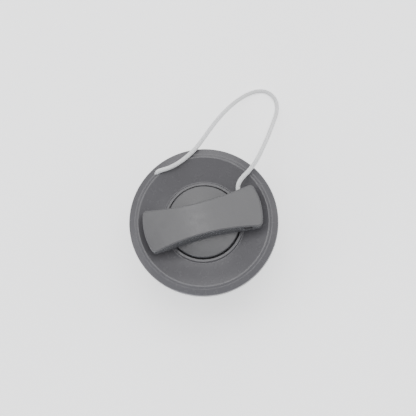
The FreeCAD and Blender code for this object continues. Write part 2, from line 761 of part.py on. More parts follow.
def ring(label, inner, outer, low, thick):
    """A flat ring cut from a disc."""
    disc = doc.addObject("Part::Cylinder", label + "_disc")
    bind(disc, "Radius", outer)
    bind(disc, "Height", thick)
    hole = doc.addObject("Part::Cylinder", label + "_hole")
    bind(hole, "Radius", inner)
    bind(hole, "Height", as_dim(thick) + 2.0)
    hole.Placement = FreeCAD.Placement(V(0, 0, -1), FreeCAD.Rotation())
    cut = doc.addObject("Part::Cut", label + "_ring")
    cut.Base = disc
    cut.Tool = hole
    cut.Placement = FreeCAD.Placement(V(0, 0, as_dim(low).value), FreeCAD.Rotation())
    bind(cut, "Placement.Base.z", low)
    doc.recompute()
    return cut


washer_low = D["clip_level"] + D["clip_thick"]
washer = ring("stem_washer", D["stem_radius"] + D["stem_fit"], D["boss_radius"] + 1.1,
              washer_low, D["poppet_low"] - washer_low)
washer.Label = "stem_washer"
keep(washer)

clip_ring = ring("clip", D["clip_groove"] + 0.02, D["clip_outer"], D["clip_level"], D["clip_thick"])
mouth = doc.addObject("Part::Box", "clip_mouth")
bind(mouth, "Length", D["clip_outer"] + 1.0)
bind(mouth, "Width", D["clip_groove"] * 1.7)
bind(mouth, "Height", D["clip_thick"] + 2.0)
mouth.Placement = FreeCAD.Placement(V(0, -0.85 * D["clip_groove"].value, D["clip_level"].value - 1.0),
                                    FreeCAD.Rotation())
bind(mouth, "Placement.Base.y", -(D["clip_groove"] * 0.85))
bind(mouth, "Placement.Base.z", D["clip_level"] - 1.0)
clip = doc.addObject("Part::Cut", "stem_clip")
clip.Label = "stem_clip"
clip.Base = clip_ring
clip.Tool = mouth
doc.recompute()
keep(clip)

# ---------------------------------------------------------------------------
# Cap: disc, hollow plug with two bayonet lugs, and the hollow bow-tie bar,
# moulded in one
# ---------------------------------------------------------------------------

cap = new_body("cap")
section = new_sketch(cap, "cap_section", "XZ_Plane")
crown_curve = (D["disc_radius"].value ** 2 + (D["disc_crown"].value - D["disc_edge"].value) ** 2) / (
    2.0 * (D["disc_crown"].value - D["disc_edge"].value))
loop(section, [
    (0, d["plug_roof"]),
    (d["plug_bore"] - 1.0, d["plug_roof"]),
    (d["plug_bore"], d["plug_roof"] - 1.0),
    (d["plug_bore"], d["plug_low"] + 0.3),
    (d["plug_bore"] + 0.3, d["plug_low"]),
    (d["plug_radius"] - 0.4, d["plug_low"]),
    (d["plug_radius"], d["plug_low"] + 0.4),
    (d["plug_radius"], d["land_low"]),
    (d["land_plug"] - 0.2, d["land_low"]),
    (d["land_plug"], d["land_low"] + 0.2),
    (d["land_plug"], d["disc_low"]),
    (d["disc_radius"] - 0.15, d["disc_low"]),
    (d["disc_radius"], d["disc_low"] + 0.15),
    (d["disc_radius"], d["disc_edge"] - 0.45, 0.45, 1),
    (d["disc_radius"] - 0.45, d["disc_edge"], crown_curve, 1),
    (0, d["disc_crown"]),
])
revolve(cap, section, "cap_turned")

# bayonet lugs, on the Y axis while the cap is free to lift
lug = new_sketch(cap, "lug_section", "YZ_Plane")
loop(lug, [
    (d["plug_radius"] - 0.6, d["lug_low"]),
    (d["lug_radius"] - 0.3, d["lug_low"]),
    (d["lug_radius"], d["lug_low"] + 0.3),
    (d["lug_radius"], d["lug_high"] - 0.2),
    (d["lug_radius"] - 0.2, d["lug_high"]),
    (d["plug_radius"] - 0.6, d["lug_high"]),
])
lug_turn = revolve(cap, lug, "lug", d["lug_span"], midplane=True)
ring_of(cap, [lug_turn], 2, "lugs")

# the bar: its outline is a little larger at the foot, because its walls slope
height = d["bar_top"] - d["bar_foot"]
spread = height * d["bar_draft"]
foot = new_sketch(cap, "bar_foot", "XY_Plane", d["bar_foot"])
bow_tie(foot, d["bar_waist"] + spread, d["bar_curve"] - spread, d["bar_reach"] + spread * 0.6, d["bar_corner"])
head = new_sketch(cap, "bar_head", "XY_Plane", d["bar_top"])
bow_tie(head, d["bar_waist"], d["bar_curve"], d["bar_reach"], d["bar_corner"])
bar = cap.newObject("PartDesign::AdditiveLoft", "bar")
bar.Profile = foot
bar.Sections = [head]
bar.Ruled = True
doc.recompute()

# the bar's middle, down into the disc
sunk = (d["bar_top"] - d["bar_sink"]) * d["bar_draft"]
root = new_sketch(cap, "bar_root", "XY_Plane", d["bar_sink"])
bow_tie(root, d["bar_waist"] + sunk, d["bar_curve"] - sunk, d["disc_radius"] - 0.3)
knee = new_sketch(cap, "bar_knee", "XY_Plane", d["bar_foot"] + 0.1)
bow_tie(knee, d["bar_waist"] + spread, d["bar_curve"] - spread, d["disc_radius"] - 0.3)
middle = cap.newObject("PartDesign::AdditiveLoft", "bar_middle")
middle.Profile = root
middle.Sections = [knee]
middle.Ruled = True
doc.recompute()

# the bar's underside rises towards its ends, to let fingers in
wing = new_sketch(cap, "wing_section", "XZ_Plane")
wing_rise = (27.0 - d["wing_start"]) * d["wing_slope"]
loop(wing, [
    (d["wing_start"], d["bar_foot"] - 1.0),
    (27.0, d["bar_foot"] - 1.0),
    (27.0, d["bar_foot"] + wing_rise),
    (d["wing_start"], d["bar_foot"]),
])
groove(cap, wing, "wings_raised")

# the arched top
arch = new_sketch(cap, "bar_arch", "XZ_Plane", -20.0)
span = D["bar_reach"].value + 2.0
arch_radius = (D["bar_reach"].value ** 2 + D["bar_arch"].value ** 2) / (2.0 * D["bar_arch"].value)
drop = arch_radius - math.sqrt(arch_radius ** 2 - span ** 2)
loop(arch, [
    (-span, d["bar_top"] - drop),
    (-span, d["bar_top"] + 2.0),
    (span, d["bar_top"] + 2.0),
    (span, d["bar_top"] - drop, arch_radius, 1),
])
before = cap.Shape.Volume
pocket(cap, arch, "bar_arched", 40.0, reverse=True)


# the top edges, eased
def bar_top_edge(edge):
    box = edge.BoundBox
    if box.ZMin < D["bar_top"].value - D["bar_arch"].value - 0.6:
        return False
    point = edge.valueAt((edge.FirstParameter + edge.LastParameter) / 2.0)
    x, y = abs(point.x), abs(point.y)
    return math.hypot(x, y) > 6.0


round_edges(cap, "bar_eased", 0.55, bar_top_edge)

# hollow under the middle of the bar, open into the plug
core = new_sketch(cap, "core_hollow", "XY_Plane", d["plug_roof"] - 1.5)
core_half = d["bar_waist"] - d["bar_wall"]
box_loop(core, -10.2, -core_half, 10.2, core_half)
pocket(cap, core, "core_hollowed", d["bar_roof_mid"] - d["plug_roof"] + 1.5, reverse=True)


# hollows in the bar's ends, open downwards beyond the disc
def end_hollow(name, sign):
    sketch = new_sketch(cap, name, "XY_Plane", d["bar_foot"] - 0.15)
    x0 = d["end_hollow_in"]
    x1 = d["bar_reach"] - d["bar_wall"] - 0.2
    y0 = d["bar_waist"] - d["bar_wall"] + 1.35
    y1 = d["bar_waist"] - d["bar_wall"] + 2.45
    x2 = d["bar_reach"] - d["bar_wall"] - 1.3
    if sign > 0:
        points = [(x0, -y0), (x2, -y1), (x1, -(y1 - 2.0)), (x1 + 0.25, 0), (x1, y1 - 2.0), (x2, y1), (x0, y0)]
    else:
        points = [(-x0, y0), (-x2, y1), (-x1, y1 - 2.0), (-(x1 + 0.25), 0), (-x1, -(y1 - 2.0)), (-x2, -y1), (-x0, -y0)]
    loop(sketch, points)
    pocket(cap, sketch, name + "ed", d["bar_roof"] - d["bar_foot"] + 0.15, reverse=True)


end_hollow("hollow_right", 1)
end_hollow("hollow_left", -1)

# tether windows through both side walls of the right-hand end
window = new_sketch(cap, "window", "XZ_Plane", -12.0)
half = d["window_wide"] / 2
box_loop(window, d["window_mid"] - half, d["window_low"], d["window_mid"] + half, d["window_high"])
pocket(cap, window, "windows", 24.0, reverse=True)
keep(cap)

# ---------------------------------------------------------------------------
# Cap O-ring, on the shoulder of the mouth
# ---------------------------------------------------------------------------

oring = doc.addObject("Part::Torus", "cap_o_ring")
oring.Label = "cap_o_ring"
bind(oring, "Radius1", D["oring_radius"])
bind(oring, "Radius2", D["oring_section"])
oring.Placement = FreeCAD.Placement(V(0, 0, (D["shoulder_level"] + D["oring_section"]).value), FreeCAD.Rotation())
bind(oring, "Placement.Base.z", D["shoulder_level"] + D["oring_section"])
doc.recompute()
keep(oring)

# ---------------------------------------------------------------------------
# Tether: from its knot under the rim, up through the rim's hole, over the
# ridge, down to the ground in one loose loop, back up over the ridge and
# through the bar's window to its second knot.  The route's points are the
# corners of straight runs that are joined by arcs.
# ---------------------------------------------------------------------------

ROUTE = [
    (-13.72, 24.87, 27.90), (-13.72, 24.87, 30.00), (-13.45, 24.85, 31.75), (-12.40, 24.90, 32.75),
    (-10.10, 24.98, 33.05), (-7.28, 25.15, 33.05), (-3.22, 26.20, 33.10), (0.88, 28.05, 33.20),
    (4.95, 30.87, 32.90), (8.52, 34.80, 30.40), (12.32, 39.48, 25.10), (16.68, 44.46, 18.30),
    (21.59, 49.10, 11.50), (26.86, 53.09, 5.80), (32.08, 55.64, 2.15), (36.58, 56.21, 0.95),
    (40.43, 55.05, 0.95), (43.12, 52.20, 0.97), (43.92, 48.15, 1.90), (42.38, 43.20, 5.20),
    (39.08, 37.38, 11.00), (35.51, 30.75, 18.20), (31.51, 24.27, 25.60), (27.45, 18.76, 31.30),
    (23.33, 15.15, 34.00), (20.45, 13.13, 34.95), (18.52, 11.56, 35.05), (17.25, 9.75, 34.85),
    (16.95, 7.90, 34.70), (16.95, 6.10, 34.70),
]
SPLIT = 15      # the run after this point lies on the ground; the two legs meet at its middle


def run_path(points):
    """Straight runs joined by tangent arcs: a line, an arc, a line and so on."""
    points = [V(*p) for p in points]
    edges = []
    here = points[0]
    for i in range(1, len(points) - 1):
        corner = points[i]
        back = points[i - 1] - corner
        ahead = points[i + 1] - corner
        turn = math.pi - back.getAngle(ahead)
        trim = 0.45 * min(back.Length, ahead.Length)
        radius = trim / math.tan(turn / 2.0)
        print("tether bend %2d: turn %5.1f deg, radius %6.2f mm, runs %.2f and %.2f mm" % (
            i, math.degrees(turn), radius, back.Length, ahead.Length))
        back.normalize()
        ahead.normalize()
        start = corner + back * trim
        stop = corner + ahead * trim
        inward = back + ahead
        inward.normalize()
        mid = corner + inward * (radius / math.cos(turn / 2.0) - radius)
        edges.append(Part.LineSegment(here, start).toShape())
        edges.append(Part.Arc(start, mid, stop).toShape())
        here = stop
    edges.append(Part.LineSegment(here, points[-1]).toShape())
    return edges


def cord_tube(label, edges):
    radius = sheet.cord_diameter / 2.0
    path = Part.Wire(edges)
    start = edges[0]
    direction = start.tangentAt(start.FirstParameter)
    profile = Part.Wire([Part.Circle(start.valueAt(start.FirstParameter), direction, radius).toShape()])
    solid = path.makePipeShell([profile], True, False)
    expect = math.pi * radius ** 2 * path.Length
    print("%s: length %.2f mm, volume %.3f of %.3f" % (label, path.Length, solid.Volume, expect))
    if abs(solid.Volume - expect) > 0.01 * expect:
        raise RuntimeError("%s has the wrong volume" % label)
    feature = doc.addObject("Part::Feature", label)
    feature.Label = label
    feature.Shape = solid
    feature.Placement = FreeCAD.Placement(V(0, 0, 0), FreeCAD.Rotation())
    return feature, path.Length


# the leg from the rim and the leg to the cap meet face to face on the ground,
# in the middle of one run
route_edges = run_path(ROUTE)
cut = 2 * SPLIT
meet = (V(*ROUTE[SPLIT]) + V(*ROUTE[SPLIT + 1])) * 0.5
line = route_edges[cut]
first_half = Part.LineSegment(line.valueAt(line.FirstParameter), meet).toShape()
second_half = Part.LineSegment(meet, line.valueAt(line.LastParameter)).toShape()
rim_leg, rim_length = cord_tube("tether_rim_leg", route_edges[:cut] + [first_half])
cap_leg, cap_length = cord_tube("tether_cap_leg", [second_half] + route_edges[cut + 1:])
print("tether length %.1f mm" % (rim_length + cap_length))
keep(rim_leg)
keep(cap_leg)


# a stopper knot: a short barrel with rounded ends, on the cord's own end
def knot(label, place, direction):
    body = new_body(label)
    section = new_sketch(body, label + "_section", "XZ_Plane")
    r, length = D["knot_radius"], D["knot_length"]
    loop(section, [
        (0, -(length / 2)),
        (r - 1.0, -(length / 2), 1.0, 1),
        (r, -(length / 2) + 1.0),
        (r, length / 2 - 1.0, 1.0, 1),
        (r - 1.0, length / 2),
        (0, length / 2),
    ])
    revolve(body, section, label + "_turned")
    body.Placement = FreeCAD.Placement(V(*place), FreeCAD.Rotation(V(0, 0, 1), V(*direction)))
    return body


half_knot = D["knot_length"].value / 2.0
end = ROUTE[0]
out = math.atan2(end[1], end[0])
shift = 0.75        # the knot sits a little inboard of the hole, inside the channel
rim_knot = knot("rim_knot", (end[0] - shift * math.cos(out), end[1] - shift * math.sin(out), end[2] - half_knot), (0, 0, 1))
end = ROUTE[-1]
handle_knot = knot("handle_knot", (end[0], end[1] - half_knot, end[2] - 0.5), (0, -1, 0))
keep(rim_knot)
keep(handle_knot)

# ---------------------------------------------------------------------------
# Check and write
# ---------------------------------------------------------------------------

doc.recompute()
faults = []
for obj in doc.Objects:
    states = [s for s in obj.State if s in ("Invalid", "Error")]
    if states:
        faults.append("%s: %s" % (obj.Name, ", ".join(states)))
for piece in PIECES:
    shape = piece.Shape
    if shape.isNull() or not shape.isValid() or len(shape.Solids) < 1:
        faults.append("%s: bad shape" % piece.Label)
        continue
    box = shape.BoundBox
    print("%-16s solids %d volume %9.2f  x %.2f %.2f  y %.2f %.2f  z %.2f %.2f" % (
        piece.Label, len(shape.Solids), shape.Volume, box.XMin, box.XMax, box.YMin, box.YMax, box.ZMin, box.ZMax))
    if len(shape.Solids) != 1:
        faults.append("%s: %d solids" % (piece.Label, len(shape.Solids)))
if faults:
    raise RuntimeError("; ".join(faults))

os.makedirs("parts", exist_ok=True)
for piece in PIECES:
    piece.Shape.exportStep("parts/%s.step" % piece.Label)
print("wrote %d pieces" % len(PIECES))
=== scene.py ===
import math

import bmesh
import bpy
from mathutils import Matrix, Quaternion, Vector


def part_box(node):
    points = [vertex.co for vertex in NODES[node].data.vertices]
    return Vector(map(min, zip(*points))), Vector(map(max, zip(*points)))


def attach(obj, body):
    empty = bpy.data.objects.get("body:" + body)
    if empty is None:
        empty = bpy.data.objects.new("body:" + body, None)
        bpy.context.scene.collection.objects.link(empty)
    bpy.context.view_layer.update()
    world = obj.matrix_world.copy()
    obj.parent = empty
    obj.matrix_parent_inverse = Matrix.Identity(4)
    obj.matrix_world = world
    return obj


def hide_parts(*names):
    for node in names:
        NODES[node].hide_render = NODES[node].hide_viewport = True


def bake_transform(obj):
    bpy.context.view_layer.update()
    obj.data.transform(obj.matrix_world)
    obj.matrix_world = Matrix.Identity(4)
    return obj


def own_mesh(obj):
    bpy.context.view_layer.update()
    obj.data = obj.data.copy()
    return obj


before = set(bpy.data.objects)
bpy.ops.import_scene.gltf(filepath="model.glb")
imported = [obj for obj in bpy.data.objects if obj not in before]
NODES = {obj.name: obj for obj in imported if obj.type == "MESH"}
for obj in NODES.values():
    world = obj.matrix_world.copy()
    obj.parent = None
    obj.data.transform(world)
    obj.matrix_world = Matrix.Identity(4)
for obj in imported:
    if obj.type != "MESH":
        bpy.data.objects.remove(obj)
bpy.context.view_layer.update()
MM = 0.001


# ---------------------------------------------------------------------------
# Finishes
# ---------------------------------------------------------------------------

def finish_of(name):
    """An empty node material with its output and its principled shader."""
    mat = bpy.data.materials.new(name)
    mat.use_nodes = True
    tree = mat.node_tree
    tree.nodes.clear()
    out = tree.nodes.new("ShaderNodeOutputMaterial")
    shader = tree.nodes.new("ShaderNodeBsdfPrincipled")
    tree.links.new(shader.outputs["BSDF"], out.inputs["Surface"])
    return mat, tree, shader


def object_coords(tree):
    return tree.nodes.new("ShaderNodeTexCoord").outputs["Object"]


def noise(tree, where, scale, detail=3.0, rough=0.5):
    node = tree.nodes.new("ShaderNodeTexNoise")
    node.inputs["Scale"].default_value = scale
    node.inputs["Detail"].default_value = detail
    node.inputs["Roughness"].default_value = rough
    tree.links.new(where, node.inputs["Vector"])
    return node.outputs["Fac"]


def spread(tree, fac, low, high, start=0.3, end=0.7):
    node = tree.nodes.new("ShaderNodeMapRange")
    node.inputs["From Min"].default_value = start
    node.inputs["From Max"].default_value = end
    node.inputs["To Min"].default_value = low
    node.inputs["To Max"].default_value = high
    tree.links.new(fac, node.inputs["Value"])
    return node.outputs["Result"]


def ramp(tree, fac, stops):
    node = tree.nodes.new("ShaderNodeValToRGB")
    band = node.color_ramp
    band.elements[0].position, band.elements[0].color = stops[0][0], (*stops[0][1], 1)
    band.elements[1].position, band.elements[1].color = stops[-1][0], (*stops[-1][1], 1)
    for place, colour in stops[1:-1]:
        band.elements.new(place).color = (*colour, 1)
    tree.links.new(fac, node.inputs["Fac"])
    return node.outputs["Color"]


def bump(tree, shader, height, distance, strength=1.0, under=None):
    node = tree.nodes.new("ShaderNodeBump")
    node.inputs["Distance"].default_value = distance
    node.inputs["Strength"].default_value = strength
    tree.links.new(height, node.inputs["Height"])
    if under is not None:
        tree.links.new(under, node.inputs["Normal"])
    tree.links.new(node.outputs["Normal"], shader.inputs["Normal"])
    return node.outputs["Normal"]


def tint(colour, k):
    return tuple(min(1.0, c * k) for c in colour)


def moulded(name, colour, rough=0.45, grain=0.000004, vary=0.04, specular=0.45):
    """Moulded plastic: slight mottling of the colour and gloss, and a fine spark-eroded grain."""
    mat, tree, shader = finish_of(name)
    where = object_coords(tree)
    mottled = noise(tree, where, 140.0, 4.0, 0.6)
    tree.links.new(
        ramp(tree, mottled, [(0.25, tint(colour, 1 - vary)), (0.5, colour), (0.75, tint(colour, 1 + vary))]),
        shader.inputs["Base Color"],
    )
    patchy = noise(tree, where, 420.0, 3.0, 0.55)
    tree.links.new(spread(tree, patchy, rough - 0.05, rough + 0.06), shader.inputs["Roughness"])
    shader.inputs["Specular IOR Level"].default_value = specular
    fine = noise(tree, where, 2600.0, 2.0, 0.5)
    swell = noise(tree, where, 260.0, 2.0, 0.5)
    lower = bump(tree, shader, swell, 0.00004, 0.35)
    bump(tree, shader, fine, grain, 0.8, under=lower)
    return mat


def soft_rubber(name, colour):
    mat, tree, shader = finish_of(name)
    where = object_coords(tree)
    cloudy = noise(tree, where, 300.0, 5.0, 0.65)
    tree.links.new(
        ramp(tree, cloudy, [(0.3, tint(colour, 0.75)), (0.7, tint(colour, 1.35))]),
        shader.inputs["Base Color"],
    )
    dusty = noise(tree, where, 900.0, 3.0, 0.6)
    tree.links.new(spread(tree, dusty, 0.62, 0.82), shader.inputs["Roughness"])
    shader.inputs["Specular IOR Level"].default_value = 0.35
    bump(tree, shader, noise(tree, where, 4200.0, 2.0, 0.5), 0.00002, 0.8)
    return mat


def drawn_steel(name):
    mat, tree, shader = finish_of(name)
    where = object_coords(tree)
    streak = noise(tree, where, 1600.0, 4.0, 0.6)
    tree.links.new(
        ramp(tree, streak, [(0.3, (0.52, 0.52, 0.53)), (0.7, (0.68, 0.68, 0.69))]),
        shader.inputs["Base Color"],
    )
    tree.links.new(spread(tree, streak, 0.22, 0.38), shader.inputs["Roughness"])
    shader.inputs["Metallic"].default_value = 1.0
    bump(tree, shader, noise(tree, where, 6000.0, 2.0, 0.5), 0.000006, 0.6)
    return mat


def braided(name):
    """White braid: the strands' crowns are bright, and the gaps between them are painted grey as shade."""
    mat, tree, shader = finish_of(name)
    crown = tree.nodes.new("ShaderNodeAttribute")
    crown.attribute_name = "crown"
    # painted shade: the crown attribute turns the white to grey in the gaps between the strands, where shade
    # falls
    base = ramp(tree, crown.outputs["Fac"], [(0.0, (0.20, 0.205, 0.21)), (0.4, (0.60, 0.605, 0.61)), (1.0, (0.93, 0.93, 0.935))])
    where = object_coords(tree)
    fuzz = noise(tree, where, 5200.0, 4.0, 0.7)
    mixed = tree.nodes.new("ShaderNodeMix")
    mixed.data_type = "RGBA"
    mixed.blend_type = "MULTIPLY"
    mixed.inputs["Factor"].default_value = 0.35
    tree.links.new(base, mixed.inputs["A"])
    tree.links.new(ramp(tree, fuzz, [(0.3, (0.7, 0.7, 0.7)), (0.65, (1.0, 1.0, 1.0))]), mixed.inputs["B"])
    tree.links.new(mixed.outputs["Result"], shader.inputs["Base Color"])
    tree.links.new(spread(tree, fuzz, 0.62, 0.86), shader.inputs["Roughness"])
    shader.inputs["Sheen Weight"].default_value = 0.25
    shader.inputs["Sheen Roughness"].default_value = 0.5
    shader.inputs["Specular IOR Level"].default_value = 0.3
    bump(tree, shader, fuzz, 0.00003, 0.7)
    return mat


PLATE = moulded("plate_finish", (0.091, 0.089, 0.095), rough=0.24, grain=0.000003, specular=0.32)
CAP = moulded("cap_finish", (0.085, 0.084, 0.087), rough=0.19, grain=0.000007, specular=0.32)
NUT = moulded("nut_finish", (0.094, 0.095, 0.100), rough=0.42, specular=0.32)
STEM = moulded("stem_finish", (0.045, 0.046, 0.048), rough=0.38)
SLIP = moulded("slip_finish", (0.62, 0.62, 0.60), rough=0.4, vary=0.03)
RUBBER = soft_rubber("rubber_finish", (0.030, 0.030, 0.032))
STEEL = drawn_steel("steel_finish")
BRAID = braided("braid_white_and_painted_gap_shade")


def dress(obj, mat):
    obj.data.materials.clear()
    obj.data.materials.append(mat)


for node, mat in {
    "valve_body": PLATE,
    "flange_gasket": RUBBER,
    "slip_ring": SLIP,
    "back_nut": NUT,
    "stem": STEM,
    "push_button": STEM,
    "stem_spring": STEEL,
    "poppet_disc": STEM,
    "poppet_seal": RUBBER,
    "stem_washer": STEEL,
    "stem_clip": STEEL,
    "cap": CAP,
    "cap_o_ring": RUBBER,
}.items():
    dress(NODES[node], mat)


# ---------------------------------------------------------------------------
# Meshes
# ---------------------------------------------------------------------------

def mesh_object(name, verts, faces, mat):
    mesh = bpy.data.meshes.new(name)
    mesh.from_pydata(verts, [], faces)
    work = bmesh.new()
    work.from_mesh(mesh)
    bmesh.ops.recalc_face_normals(work, faces=work.faces)
    work.to_mesh(mesh)
    work.free()
    mesh.polygons.foreach_set("use_smooth", [True] * len(mesh.polygons))
    mesh.materials.append(mat)
    obj = bpy.data.objects.new(name, mesh)
    bpy.context.scene.collection.objects.link(obj)
    return obj


def thread(name, root, crest, low, high, pitch, wide, narrow, mat, start=0.0):
    """A helical ridge from the root radius to the crest radius, both in mm, that fades out at its two ends."""
    turns = (high - low) / pitch
    total = 2 * math.pi * turns
    count = int(turns * 120)
    sunk = root - math.copysign(0.12, crest - root)
    verts, faces = [], []
    for i in range(count + 1):
        share = i / count
        angle = total * share
        z = low + (high - low) * share
        fade = max(0.0, min(1.0, angle / 0.7, (total - angle) / 0.7))
        fade = fade * fade * (3 - 2 * fade)
        tip = sunk + (crest - sunk) * (0.04 + 0.96 * fade)
        c, s = math.cos(angle + start), math.sin(angle + start)
        for r, dz in ((sunk, -wide / 2), (tip, -narrow / 2), (tip, narrow / 2), (sunk, wide / 2)):
            verts.append((r * c * MM, r * s * MM, (z + dz) * MM))
    for i in range(count):
        for k in range(4):
            a, b = 4 * i + k, 4 * i + (k + 1) % 4
            faces.append((a, b, b + 4, a + 4))
    faces.append((0, 1, 2, 3))
    faces.append(tuple(4 * count + k for k in range(4)))
    obj = mesh_object(name, verts, faces, mat)
    sharp = [e.vertices[0] % 4 == e.vertices[1] % 4 for e in obj.data.edges]
    mark = obj.data.attributes.new("sharp_edge", "BOOLEAN", "EDGE")
    mark.data.foreach_set("value", sharp)
    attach(obj, "root")
    return obj


# the neck's thread shows between the gasket and the slip ring, and the nut's
# own thread shows from below
thread("neck_thread", 17.55, 18.28, 11.2, 24.2, 3.0, 1.9, 0.8, PLATE)
thread("nut_thread", 18.45, 17.80, 2.6, 9.3, 3.0, 1.9, 0.8, NUT, start=1.0)


def coil(name, radius, wire, turns, low, high, mat):
    """A spring of round wire, sizes in mm; its line runs from the low to the high level."""
    count, sides = int(turns * 72), 16
    verts, faces = [], []
    for i in range(count + 1):
        angle = 2 * math.pi * turns * i / count
        z = low + (high - low) * i / count
        for k in range(sides):
            t = 2 * math.pi * k / sides
            r = radius + wire * math.cos(t)
            verts.append((r * math.cos(angle) * MM, r * math.sin(angle) * MM, (z + wire * math.sin(t)) * MM))
    for i in range(count):
        for k in range(sides):
            a, b = sides * i + k, sides * i + (k + 1) % sides
            faces.append((a, b, b + sides, a + sides))
    faces.append(tuple(range(sides)))
    faces.append(tuple(sides * count + k for k in range(sides)))
    return mesh_object(name, verts, faces, mat)


# the real spring shortens by the pin's 5 mm travel, down towards the hub; this coil is drawn at one fixed
# length
spring = coil("spring_coil", 4.35, 0.3, 3.5, 13.62, 21.08, STEEL)
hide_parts("stem_spring")
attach(spring, "root")
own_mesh(spring)


# ---------------------------------------------------------------------------
# Tether
# ---------------------------------------------------------------------------

CORD = 0.0018

# points of one smooth line: out of the rim's hole, along the ridge and over
# it, down to the ground, round, up over the ridge and into the bar's window
ROUTE = [
    (-13.72, 24.87, 27.90), (-13.72, 24.87, 30.00), (-13.50, 24.85, 31.35), (-12.41, 25.02, 31.85),
    (-10.10, 25.06, 31.85), (-7.32, 25.35, 31.75), (-3.32, 26.47, 31.80), (0.72, 28.35, 31.75),
    (4.79, 31.09, 30.70), (8.44, 34.90, 27.60), (12.27, 39.53, 22.40), (16.65, 44.51, 16.20),
    (21.51, 49.24, 10.20), (26.80, 53.22, 5.30), (32.08, 55.68, 2.10), (36.62, 56.37, 0.95),
    (40.45, 55.17, 0.95), (42.95, 52.15, 0.97), (43.58, 48.17, 1.90), (42.13, 43.30, 5.20),
    (38.89, 37.50, 11.00), (35.21, 30.97, 18.20), (31.18, 24.55, 25.60), (27.30, 18.88, 31.30),
    (23.31, 15.19, 34.00), (20.39, 13.22, 34.95), (18.46, 11.62, 35.05), (17.25, 9.75, 34.85),
    (16.95, 7.90, 34.70), (16.95, 6.10, 34.70),
]


def line_points(route):
    """Points read from one smooth curve through the route, in metres."""
    curve = bpy.data.curves.new("tether_line", "CURVE")
    curve.dimensions = "3D"
    spline = curve.splines.new("NURBS")
    spline.points.add(len(route) - 1)
    for point, place in zip(spline.points, route):
        point.co = (place[0] * MM, place[1] * MM, place[2] * MM, 1.0)
    spline.order_u = 3
    spline.use_endpoint_u = True
    spline.resolution_u = 44
    obj = bpy.data.objects.new("tether_line", curve)
    bpy.context.scene.collection.objects.link(obj)
    bpy.context.view_layer.update()
    mesh = bpy.data.meshes.new_from_object(obj.evaluated_get(bpy.context.evaluated_depsgraph_get()))
    points = [v.co.copy() for v in mesh.vertices]
    bpy.data.objects.remove(obj)
    bpy.data.meshes.remove(mesh)
    return points


def length_of(points):
    return sum((b - a).length for a, b in zip(points, points[1:]))


STRANDS = 8          # strands that wind each way
LAY = 0.0058         # length of one full turn of a strand
SIDES = 64


def braid_height(angle, along):
    """Height of the braid's surface, 0 in the gaps and 1 on the crowns."""
    u = STRANDS * (angle / (2 * math.pi) + along / LAY)
    v = STRANDS * (angle / (2 * math.pi) - along / LAY)
    fu, fv = u - math.floor(u), v - math.floor(v)
    over = (math.floor(u) + math.floor(v)) % 2 == 0
    across, down = (fu, fv) if over else (fv, fu)
    return math.sin(math.pi * across) ** 0.7 * (0.45 + 0.55 * math.sin(math.pi * down) ** 0.6)


def braided_tube(name, points, radius, offset, sides=SIDES, relief=0.10, ends=(False, False)):
    """A round braid along the points. Each end is cut flat, or sealed to a small dome."""
    verts, faces, crowns = [], [], []
    tangent = (points[1] - points[0]).normalized()
    side = tangent.cross(Vector((0.31, 0.17, 0.94)))
    if side.length < 0.2:
        side = tangent.cross(Vector((1, 0, 0)))
    side.normalize()
    total = length_of(points)
    along = 0.0
    rows = []
    for i, place in enumerate(points):
        if i:
            along += (place - points[i - 1]).length
        ahead = points[min(i + 1, len(points) - 1)] - points[max(i - 1, 0)]
        ahead.normalize()
        side = (side - ahead * side.dot(ahead)).normalized()
        up = ahead.cross(side)
        squeeze = 1.0
        for sealed, gap in ((ends[0], along), (ends[1], total - along)):
            if sealed and gap < 0.6 * radius:
                squeeze = min(squeeze, math.sqrt(max(0.0, 1 - (1 - gap / (0.6 * radius)) ** 2)) * 0.97 + 0.03)
        row = []
        for k in range(sides):
            angle = 2 * math.pi * k / sides
            height = braid_height(angle, along + offset)
            r = radius * (1.0 + 0.03 - relief * (1 - height)) * squeeze
            row.append(len(verts))
            verts.append(place + side * (r * math.cos(angle)) + up * (r * math.sin(angle)))
            # the crown value sets how far the braid is painted grey as gap shade; towards a sealed dome's tip
            # it is lowered, so the tip is greyer
            crowns.append(height * min(1.0, 0.4 + squeeze))
        rows.append(row)
    for a, b in zip(rows, rows[1:]):
        for k in range(sides):
            n = (k + 1) % sides
            faces.append((a[k], a[n], b[n], b[k]))
    for row, place in ((rows[0], points[0]), (rows[-1], points[-1])):
        centre = len(verts)
        verts.append(place)
        crowns.append(0.6)
        for k in range(sides):
            faces.append((row[k], row[(k + 1) % sides], centre))
    obj = mesh_object(name, verts, faces, BRAID)
    # the crown attribute drives the braid's painted gap shade
    mark = obj.data.attributes.new("crown", "FLOAT", "POINT")
    mark.data.foreach_set("value", crowns)
    return obj


line = line_points(ROUTE)
meet = Vector((38.505, 55.63, 0.95)) * MM
split = min(range(len(line)), key=lambda i: (line[i] - meet).length)
rim_line, cap_line = line[: split + 1], line[split:]
rim_length, cap_length = length_of(rim_line), length_of(cap_line)

rim_leg = braided_tube("rim_braid", rim_line, CORD / 2, 0.0)
cap_leg = braided_tube("cap_braid", cap_line, CORD / 2, rim_length)


